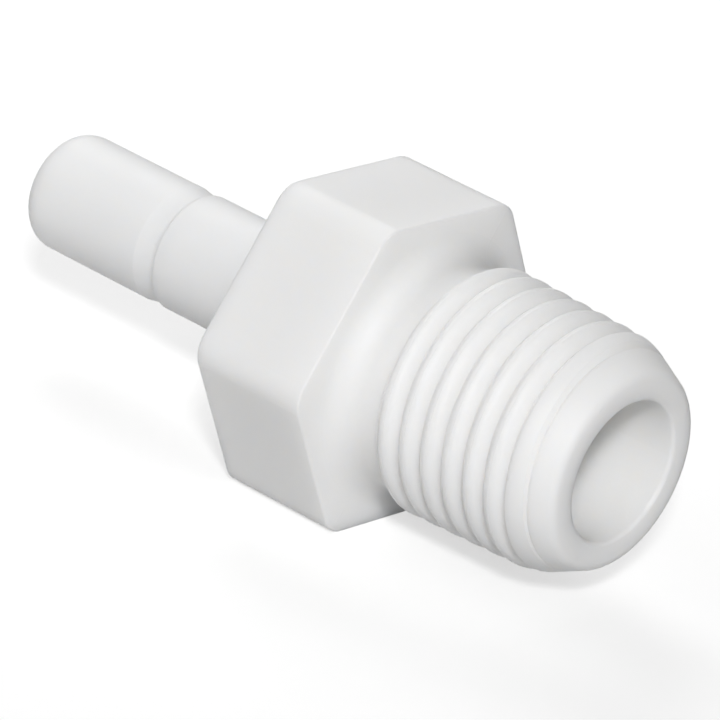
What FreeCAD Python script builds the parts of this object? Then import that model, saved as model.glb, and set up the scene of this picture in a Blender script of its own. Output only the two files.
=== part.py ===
import FreeCAD, Part
import math
import os

# Straight stem adaptor with a hexagon and a tapered male pipe thread, one plastic moulding.
# Lengths are in millimetres and angles in degrees. The X axis runs along the fitting towards the
# thread end, and the origin is on that axis, in the front face of the hexagon. +Z is up.

# Tube stem, which a push-in socket grips
stem_diameter = 6.35
stem_length = 18.15             # from the tip to the back face of the hexagon
stem_tip_rounding = 1.2
stem_bore_diameter = 4.0
stem_mouth_rounding = 0.25
grip_groove_distance = 9.3      # from the back face of the hexagon to the middle of the groove
grip_groove_width = 1.4
grip_groove_depth = 0.22        # before its bottom is rounded
grip_groove_wall_length = 0.25  # along the axis, of its short steep side towards the hexagon
grip_groove_rounding = 0.3

# Hexagon
hex_across_flats = 16.35
hex_length = 6.85
hex_corner_rounding = 1.6   # along its six long edges
hex_front_rounding = 0.12
hex_back_rounding = 0.15
neck_fillet = 1.35          # from the front face into the neck, where the flats leave room for it

# Neck, as slim as the root of the thread, between the hexagon and the first turn
neck_diameter = 11.9
neck_length = 2.45          # from the front face of the hexagon
neck_rise_length = 0.45     # from the neck up to the crests
neck_rise_rounding = 0.45   # where the rise meets the crests

# Tapered pipe thread, 19 turns to the inch, right-hand
thread_pitch = 25.4 / 19
thread_angle = 55.0
thread_length = 13.3        # from the front face of the hexagon to the end
thread_gauge_diameter = 13.157
thread_gauge_length = 6.0   # from the end to the plane of the gauge diameter
thread_taper = 1.0 / 16     # on the diameter
crest_relief = 0.1          # moulded crests stand this much under the gauge radius
crest_rounding = 0.45
root_flat = 0.12            # width of the bottom of the groove
crest_land_angle = 16.0     # slope at which the rounded crest meets the cone of the blank
runout_turns = 0.9          # turns over which the groove fades out on the neck
runout_lift = 1.15          # rise of the groove at its faded end, as a share of the thread depth
groove_start = 1.5          # distance of the faded end of the groove from the hexagon
groove_start_angle = 230.2  # where on the circle the groove fades out, from +Y towards +Z
lip_rise = 1.3              # reach of the groove's lips, as a share of their depth in the blank

# Free end of the thread
lead_bevel_length = 2.5
lead_bevel_rounding = 2.5   # where the crests turn into the bevel
land_diameter = 10.4
land_rounding = 0.55
outlet_bore_diameter = 7.5
outlet_bore_depth = 11.0
outlet_mouth_rounding = 0.2
bore_step_angle = 45.0      # slope of the cone between the two bores

neck_room_share = 0.96      # the most of the room outside the neck that its fillet may take
path_points_per_turn = 12
cutter_margin = 0.3         # how far cutting tools reach past what they cut

# Worked out from the sizes above
stem_radius = stem_diameter / 2
stem_bore_radius = stem_bore_diameter / 2
outlet_radius = outlet_bore_diameter / 2
land_radius = land_diameter / 2
neck_radius = neck_diameter / 2
hex_back_x = -hex_length
stem_tip_x = hex_back_x - stem_length
end_x = thread_length
bevel_x = end_x - lead_bevel_length
rise_x = neck_length + neck_rise_length
half_angle = math.radians(thread_angle / 2)
sharp_height = thread_pitch / 2 / math.tan(half_angle)
crest_truncation = crest_rounding * (1 / math.sin(half_angle) - 1)
root_truncation = root_flat / 2 / math.tan(half_angle)
thread_depth = sharp_height - crest_truncation - root_truncation


def vec(x, y, z=0.0):
    return FreeCAD.Vector(x, y, z)


def crest_radius(x):
    from_gauge = end_x - thread_gauge_length - x
    return thread_gauge_diameter / 2 - crest_relief + from_gauge * thread_taper / 2


def line(start, end):
    return Part.LineSegment(start, end).toShape()


def arc(start, middle, end):
    return Part.Arc(start, middle, end).toShape()


def rounded_corner(corner, before, after, radius):
    """Start, middle and end of the arc that rounds a corner between two straight sides."""
    to_before = (before - corner).normalize()
    to_after = (after - corner).normalize()
    half = to_before.getAngle(to_after) / 2
    reach = radius / math.tan(half)
    inward = (to_before + to_after).normalize()
    centre = corner + inward * (radius / math.sin(half))
    middle = centre - inward * radius
    return corner + to_before * reach, middle, corner + to_after * reach


def outline_edges(corners):
    """Closed outline from (point, rounding) pairs; a rounding of 0 leaves the corner sharp."""
    joints = []
    count = len(corners)
    for i, (point, radius) in enumerate(corners):
        if radius > 0:
            before = corners[i - 1][0]
            after = corners[(i + 1) % count][0]
            joints.append(rounded_corner(point, before, after, radius))
        else:
            joints.append((point, None, point))
    edges = []
    for i, (start, middle, end) in enumerate(joints):
        if middle is not None:
            edges.append(arc(start, middle, end))
        edges.append(line(end, joints[(i + 1) % count][0]))
    return edges


def revolve(edges):
    face = Part.Face(Part.Wire(Part.__sortEdges__(edges)))
    return face.revolve(vec(0, 0), vec(1, 0), 360)


def make_stem():
    inside_hex = hex_back_x + hex_length / 2
    corners = [
        (vec(stem_tip_x, 0), 0),
        (vec(stem_tip_x, stem_radius), stem_tip_rounding),
        (vec(inside_hex, stem_radius), 0),
        (vec(inside_hex, 0), 0),
    ]
    stem = revolve(outline_edges(corners))
    return stem.cut(make_grip_groove_ring())


def make_grip_groove_ring():
    """A long gentle slope from the tip side and a short steep wall towards the hexagon."""
    middle_x = hex_back_x - grip_groove_distance
    left_x = middle_x - grip_groove_width / 2
    right_x = middle_x + grip_groove_width / 2
    bottom_x = right_x - grip_groove_wall_length
    top = stem_radius + cutter_margin
    corners = [
        (vec(left_x, stem_radius), 0),
        (vec(bottom_x, stem_radius - grip_groove_depth), grip_groove_rounding),
        (vec(right_x, stem_radius), 0),
        (vec(right_x, top), 0),
        (vec(left_x, top), 0),
    ]
    return revolve(outline_edges(corners))


def make_hexagon():
    """Corners stand at 0, 60, 120... degrees, so one pair of flats is level."""
    corner_radius = hex_across_flats / 2 / math.cos(math.radians(30))
    points = []
    for k in range(6):
        angle = math.radians(60 * k)
        points.append(vec(hex_back_x, corner_radius * math.cos(angle), corner_radius * math.sin(angle)))
    face = Part.Face(Part.makePolygon(points + [points[0]]))
    prism = face.extrude(vec(hex_length, 0))
    prism = prism.makeFillet(hex_corner_rounding, [e for e in prism.Edges if is_prism_edge(e)])
    front = [e for e in prism.Edges if lies_at(e, 0.0)]
    prism = prism.makeFillet(hex_front_rounding, front)
    back = [e for e in prism.Edges if lies_at(e, hex_back_x)]
    return prism.makeFillet(hex_back_rounding, back)


def is_prism_edge(edge):
    return abs(edge.BoundBox.XLength - hex_length) < 1e-6


def lies_at(edge, x):
    box = edge.BoundBox
    return abs(box.XMin - x) < 1e-6 and abs(box.XMax - x) < 1e-6


def make_thread_blank():
    """Neck, tapered body and free end, before the groove is cut."""
    inside_hex = -hex_length / 2
    flat_room = hex_across_flats / 2 - hex_front_rounding
    neck_room = flat_room - neck_radius
    corners = [
        (vec(inside_hex, 0), 0),
        (vec(inside_hex, flat_room), 0),
        (vec(0, flat_room), 0),
        (vec(0, neck_radius), min(neck_fillet, neck_room * neck_room_share)),
        (vec(neck_length, neck_radius), 0),
        (vec(rise_x, crest_radius(rise_x)), neck_rise_rounding),
        (vec(bevel_x, crest_radius(bevel_x)), lead_bevel_rounding),
        (vec(end_x, land_radius), land_rounding),
        (vec(end_x, 0), 0),
    ]
    return revolve(outline_edges(corners))


def groove_lift(turns):
    """How far the groove has risen out of the blank, from its full depth, near its faded end."""
    left = max(0.0, 1 - turns / runout_turns)
    return thread_depth * runout_lift * left ** 2


def make_groove_path():
    """One edge for each turn, because a cutter with faces of many turns cuts badly."""
    turns = math.ceil((end_x + thread_pitch - groove_start) / thread_pitch)
    steps = turns * path_points_per_turn
    turned = [i / path_points_per_turn for i in range(steps + 1)]
    curve = Part.BSplineCurve()
    curve.interpolate(Points=[groove_point(t) for t in turned], Parameters=turned)
    return Part.Wire([curve.toShape(turn, turn + 1) for turn in range(turns)])


def groove_point(turned, along=0.0, height=0.0):
    """A point of the groove after some turns; height counts outwards from its root."""
    x = groove_start + turned * thread_pitch
    angle = math.radians(groove_start_angle + 360 * turned)
    radius = crest_radius(x) - thread_depth + groove_lift(turned) + height
    return vec(x + along, radius * math.cos(angle), radius * math.sin(angle))


def make_groove_section():
    """Narrow root, two flanks and the rounding of the crests, in the plane of the axis."""
    crest_centre_x = thread_pitch / 2
    crest_centre_h = thread_depth - crest_rounding
    flank_x = crest_centre_x - crest_rounding * math.cos(half_angle)
    flank_h = crest_centre_h + crest_rounding * math.sin(half_angle)
    land = math.radians(crest_land_angle)
    shoulder_x = crest_centre_x - crest_rounding * math.sin(land)
    shoulder_h = crest_centre_h + crest_rounding * math.cos(land)
    bend = (half_angle + math.pi / 2 - land) / 2
    bend_x = crest_centre_x - crest_rounding * math.cos(bend)
    bend_h = crest_centre_h + crest_rounding * math.sin(bend)
    rise = lip_rise * (thread_depth - shoulder_h)
    lip_x = shoulder_x + rise / math.tan(land)
    top_h = thread_depth + cutter_margin

    def side(sign):
        root = groove_point(0, sign * root_flat / 2)
        flank = groove_point(0, sign * flank_x, flank_h)
        shoulder = groove_point(0, sign * shoulder_x, shoulder_h)
        lip = groove_point(0, sign * lip_x, shoulder_h + rise)
        top = groove_point(0, sign * lip_x, top_h)
        bend_point = groove_point(0, sign * bend_x, bend_h)
        return [line(root, flank), arc(flank, bend_point, shoulder), line(shoulder, lip), line(lip, top)]

    bottom = line(groove_point(0, -root_flat / 2), groove_point(0, root_flat / 2))
    cap = line(groove_point(0, -lip_x, top_h), groove_point(0, lip_x, top_h))
    return Part.Wire(Part.__sortEdges__([bottom, cap] + side(-1) + side(1)))


def make_thread_groove():
    sweep = Part.BRepOffsetAPI.MakePipeShell(make_groove_path())
    sweep.setBiNormalMode(vec(1, 0))
    sweep.add(make_groove_section())
    sweep.build()
    sweep.makeSolid()
    return sweep.shape()


def make_bores():
    step_length = (outlet_radius - stem_bore_radius) / math.tan(math.radians(bore_step_angle))
    outlet_x = end_x - outlet_bore_depth
    corners = [
        vec(stem_tip_x - cutter_margin, 0),
        vec(stem_tip_x - cutter_margin, stem_bore_radius),
        vec(outlet_x - step_length, stem_bore_radius),
        vec(outlet_x, outlet_radius),
        vec(end_x + cutter_margin, outlet_radius),
        vec(end_x + cutter_margin, 0),
    ]
    return revolve(outline_edges([(c, 0) for c in corners]))


def make_mouth(face_x, outward, bore_radius, rounding):
    """Ring that rounds the mouth of a bore; outward is 1 or -1 along X."""
    inner = vec(face_x - outward * rounding, bore_radius)
    outer = vec(face_x, bore_radius + rounding)
    centre = vec(inner.x, outer.y)
    middle = centre + vec(outward, -1).normalize() * rounding
    past_face = face_x + outward * cutter_margin
    low = bore_radius - cutter_margin
    edges = [
        arc(inner, middle, outer),
        line(outer, vec(past_face, outer.y)),
        line(vec(past_face, outer.y), vec(past_face, low)),
        line(vec(past_face, low), vec(inner.x, low)),
        line(vec(inner.x, low), inner),
    ]
    return revolve(edges)


def make_connector():
    body = make_hexagon().fuse([make_stem(), make_thread_blank()])
    body = body.cut(make_thread_groove())
    body = body.cut(make_bores())
    body = body.cut(make_mouth(end_x, 1, outlet_radius, outlet_mouth_rounding))
    body = body.cut(make_mouth(stem_tip_x, -1, stem_bore_radius, stem_mouth_rounding))
    return body.removeSplitter()


os.makedirs("parts", exist_ok=True)
connector = make_connector()
print("solids", len(connector.Solids), "valid", connector.isValid())
print("volume", round(connector.Volume, 2), "centre", connector.CenterOfGravity)
print("thread depth", round(thread_depth, 3))
connector.exportStep("parts/connector_body.step")
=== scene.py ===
import bpy
import math
from mathutils import Matrix, Vector


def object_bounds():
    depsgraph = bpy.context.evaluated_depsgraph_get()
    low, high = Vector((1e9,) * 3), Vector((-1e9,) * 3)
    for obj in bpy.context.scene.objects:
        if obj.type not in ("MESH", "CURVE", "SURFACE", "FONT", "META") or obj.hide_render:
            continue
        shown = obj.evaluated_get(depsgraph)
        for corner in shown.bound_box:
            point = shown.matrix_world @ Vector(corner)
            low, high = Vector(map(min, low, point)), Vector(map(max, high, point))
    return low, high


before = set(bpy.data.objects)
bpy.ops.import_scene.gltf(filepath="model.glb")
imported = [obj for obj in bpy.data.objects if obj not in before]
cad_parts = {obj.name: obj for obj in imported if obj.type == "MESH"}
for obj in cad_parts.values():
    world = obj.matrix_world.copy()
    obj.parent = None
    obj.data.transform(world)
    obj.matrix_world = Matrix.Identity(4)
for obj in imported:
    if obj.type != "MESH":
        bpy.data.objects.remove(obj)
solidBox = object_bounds()
print("frame loaded")


# moulded white plastic of the connector

mouldedWhite = {
    "lightTone": (0.940, 0.937, 0.928),
    "deepTone": (0.918, 0.914, 0.903),  # where the melt cooled a little duller
    "flowScale": 90.0,
    "flowDetail": 3.0,
    "flowStretch": (0.35, 1.0, 1.0),  # the melt ran along the axis
    "roughLow": 0.46,
    "roughHigh": 0.58,
    "roughScale": 700.0,
    "roughDetail": 2.0,
    "grainScale": 5200.0,
    "grainDetail": 2.0,
    "grainDepth": 0.000004,
    "waveScale": 260.0,  # slight sinks in the flat walls
    "waveDetail": 1.0,
    "waveDepth": 0.000012,
    "partingAngle": 60.0,  # the mould halves meet in this plane through the axis
    "partingWidth": 0.00009,
    "partingDepth": 0.000006,
    "specular": 0.36,
    "ior": 1.48,
    "subsurface": 1.0,
    "subsurfaceRadius": (1.0, 0.96, 0.90),
    "subsurfaceScale": 0.0015,
}


def addNode(tree, kind, place, **values):
    node = tree.nodes.new(kind)
    node.location = place
    for name, value in values.items():
        setattr(node, name, value)
    return node


def noiseNode(tree, vector, scale, detail, place):
    noise = addNode(tree, "ShaderNodeTexNoise", place)
    noise.inputs["Scale"].default_value = scale
    noise.inputs["Detail"].default_value = detail
    tree.links.new(vector, noise.inputs["Vector"])
    return noise


def mathNode(tree, operation, first, second, place):
    node = addNode(tree, "ShaderNodeMath", place, operation=operation)
    for socket, value in zip(node.inputs, (first, second)):
        if hasattr(value, "is_linked"):
            tree.links.new(value, socket)
        elif value is not None:
            socket.default_value = value
    return node.outputs[0]


def bumpNode(tree, height, distance, under, place):
    bump = addNode(tree, "ShaderNodeBump", place)
    bump.inputs["Strength"].default_value = 1.0
    bump.inputs["Distance"].default_value = distance
    tree.links.new(height, bump.inputs["Height"])
    if under:
        tree.links.new(under, bump.inputs["Normal"])
    return bump.outputs["Normal"]


def makeMouldedWhite():
    s = mouldedWhite
    material = bpy.data.materials.new("mouldedWhite")
    material.use_nodes = True
    tree = material.node_tree
    shader = tree.nodes["Principled BSDF"]
    coords = addNode(tree, "ShaderNodeTexCoord", (-1500, 0)).outputs["Object"]

    flowMap = addNode(tree, "ShaderNodeMapping", (-1250, 250))
    flowMap.inputs["Scale"].default_value = s["flowStretch"]
    tree.links.new(coords, flowMap.inputs["Vector"])
    flow = noiseNode(tree, flowMap.outputs["Vector"], s["flowScale"], s["flowDetail"], (-1000, 250))
    tone = addNode(tree, "ShaderNodeMix", (-500, 250), data_type="RGBA")
    tone.inputs["A"].default_value = (*s["deepTone"], 1)
    tone.inputs["B"].default_value = (*s["lightTone"], 1)
    tree.links.new(flow.outputs["Fac"], tone.inputs["Factor"])
    tree.links.new(tone.outputs["Result"], shader.inputs["Base Color"])

    patches = noiseNode(tree, coords, s["roughScale"], s["roughDetail"], (-1000, 0))
    gloss = addNode(tree, "ShaderNodeMapRange", (-500, 0))
    gloss.inputs["To Min"].default_value = s["roughLow"]
    gloss.inputs["To Max"].default_value = s["roughHigh"]
    tree.links.new(patches.outputs["Fac"], gloss.inputs["Value"])
    tree.links.new(gloss.outputs["Result"], shader.inputs["Roughness"])

    wave = noiseNode(tree, coords, s["waveScale"], s["waveDetail"], (-1000, -250))
    waved = bumpNode(tree, wave.outputs["Fac"], s["waveDepth"], None, (-500, -250))
    grain = noiseNode(tree, coords, s["grainScale"], s["grainDetail"], (-1000, -500))
    grained = bumpNode(tree, grain.outputs["Fac"], s["grainDepth"], waved, (-300, -350))
    parted = bumpNode(tree, partingLine(tree, coords), s["partingDepth"], grained, (-100, -450))
    tree.links.new(parted, shader.inputs["Normal"])

    shader.inputs["IOR"].default_value = s["ior"]
    shader.inputs["Specular IOR Level"].default_value = s["specular"]
    shader.inputs["Subsurface Weight"].default_value = s["subsurface"]
    shader.inputs["Subsurface Radius"].default_value = s["subsurfaceRadius"]
    shader.inputs["Subsurface Scale"].default_value = s["subsurfaceScale"]
    return material


def partingLine(tree, coords):
    # a fine witness line where the mould halves met, raised on both sides of the part
    s = mouldedWhite
    angle = math.radians(s["partingAngle"])
    across = addNode(tree, "ShaderNodeVectorMath", (-1250, -750), operation="DOT_PRODUCT")
    across.inputs[1].default_value = (0, -math.sin(angle), math.cos(angle))
    tree.links.new(coords, across.inputs[0])
    gap = mathNode(tree, "ABSOLUTE", across.outputs["Value"], None, (-1050, -750))
    ridge = addNode(tree, "ShaderNodeMapRange", (-850, -750), interpolation_type="SMOOTHSTEP")
    ridge.inputs["From Min"].default_value = 0.0
    ridge.inputs["From Max"].default_value = s["partingWidth"]
    ridge.inputs["To Min"].default_value = 1.0
    ridge.inputs["To Max"].default_value = 0.0
    tree.links.new(gap, ridge.inputs["Value"])
    return ridge.outputs["Result"]


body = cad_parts["connector_body"]
plastic = makeMouldedWhite()
for materialSlot in body.material_slots:
    materialSlot.material = plastic
print("moulded plastic assigned")


# floor and light

surroundings = {
    "floorSize": 3.0,
    "floorColour": (0.62, 0.62, 0.62),
    "floorRoughness": 0.9,
    "floorLift": 0.57,  # what the floor adds where it is seen directly, so that it reads as white
    "skyColour": (1.0, 1.0, 1.0),
    "skyLight": 0.015,
}

softBoxes = {
    "key": {"place": (0.462, -0.607, 0.490), "size": (0.09, 0.09), "power": 4.95},
    "fill": {"place": (0.62, -0.60, 0.25), "size": (0.4, 0.4), "power": 1.1},
    "front": {"place": (0.70, -0.12, 0.10), "size": (0.2, 0.2), "power": 0.25},
    "back": {"place": (-0.090, 0.060, 0.107), "size": (0.08, 0.08), "power": 0.088},
    "left": {"place": (-0.10, -0.07, 0.10), "size": (0.08, 0.08), "power": 0.031},
}


def seenDirectly(tree, place):
    # 1 for rays that show the background itself, 0 for those that only light the object
    ray = addNode(tree, "ShaderNodeLightPath", place).outputs
    left, top = place
    seen = mathNode(tree, "MAXIMUM", ray["Is Camera Ray"], ray["Is Glossy Ray"], (left + 200, top))
    return mathNode(tree, "MAXIMUM", seen, ray["Is Transmission Ray"], (left + 400, top))


def makeFloorPaper():
    s = surroundings
    material = bpy.data.materials.new("floorPaper")
    material.use_nodes = True
    tree = material.node_tree
    shader = tree.nodes["Principled BSDF"]
    shader.inputs["Base Color"].default_value = (*s["floorColour"], 1)
    shader.inputs["Roughness"].default_value = s["floorRoughness"]
    shader.inputs["Specular IOR Level"].default_value = 0.0
    shader.inputs["Emission Color"].default_value = (1, 1, 1, 1)
    lift = mathNode(tree, "MULTIPLY", seenDirectly(tree, (-900, -200)), s["floorLift"], (-250, -200))
    tree.links.new(lift, shader.inputs["Emission Strength"])
    return material


def makeFloor():
    s = surroundings
    bpy.ops.mesh.primitive_plane_add(size=s["floorSize"], location=(0, 0, solidBox[0][2]))
    floor = bpy.context.object
    floor.name = "floor"
    floor.data.materials.append(makeFloorPaper())


def makeSky():
    s = surroundings
    world = bpy.data.worlds.new("studio")
    world.use_nodes = True
    bpy.context.scene.world = world
    tree = world.node_tree
    background = tree.nodes["Background"]
    background.inputs["Color"].default_value = (*s["skyColour"], 1)
    more = mathNode(tree, "MULTIPLY", seenDirectly(tree, (-900, 0)), 1 - s["skyLight"], (-400, 0))
    tree.links.new(mathNode(tree, "ADD", more, s["skyLight"], (-200, 0)), background.inputs["Strength"])


def makeSoftBox(name, settings):
    light = bpy.data.lights.new(name, "AREA")
    light.shape = "RECTANGLE"
    light.size, light.size_y = settings["size"]
    light.energy = settings["power"]
    lamp = bpy.data.objects.new(name, light)
    bpy.context.collection.objects.link(lamp)
    lamp.location = settings["place"]
    lamp.rotation_euler = (-Vector(settings["place"])).to_track_quat("-Z", "Y").to_euler()


makeFloor()
makeSky()
for boxName, boxSettings in softBoxes.items():
    makeSoftBox(boxName, boxSettings)
print("floor and light ready")


# camera, at the photograph's angle

viewpoint = {
    "place": (0.184095, -0.247436, 0.126733),
    "right": (0.737304, 0.651750, 0.177777),
    "up": (-0.378955, 0.181159, 0.907510),
    "lens": 335.5,
    "sensorWidth": 36.0,
    "nearest": 0.01,
}


def makeCamera():
    s = viewpoint
    camera = bpy.data.objects.new("camera", bpy.data.cameras.new("camera"))
    bpy.context.collection.objects.link(camera)
    camera.data.sensor_width = s["sensorWidth"]
    camera.data.lens = s["lens"]
    camera.data.clip_start = s["nearest"]
    right = Vector(s["right"]).normalized()
    up = Vector(s["up"]).normalized()
    turn = Matrix((right, up, right.cross(up))).transposed()
    camera.matrix_world = Matrix.Translation(s["place"]) @ turn.to_4x4()
    bpy.context.scene.camera = camera


makeCamera()
bpy.context.scene.view_settings.view_transform = "Standard"
print("camera ready")
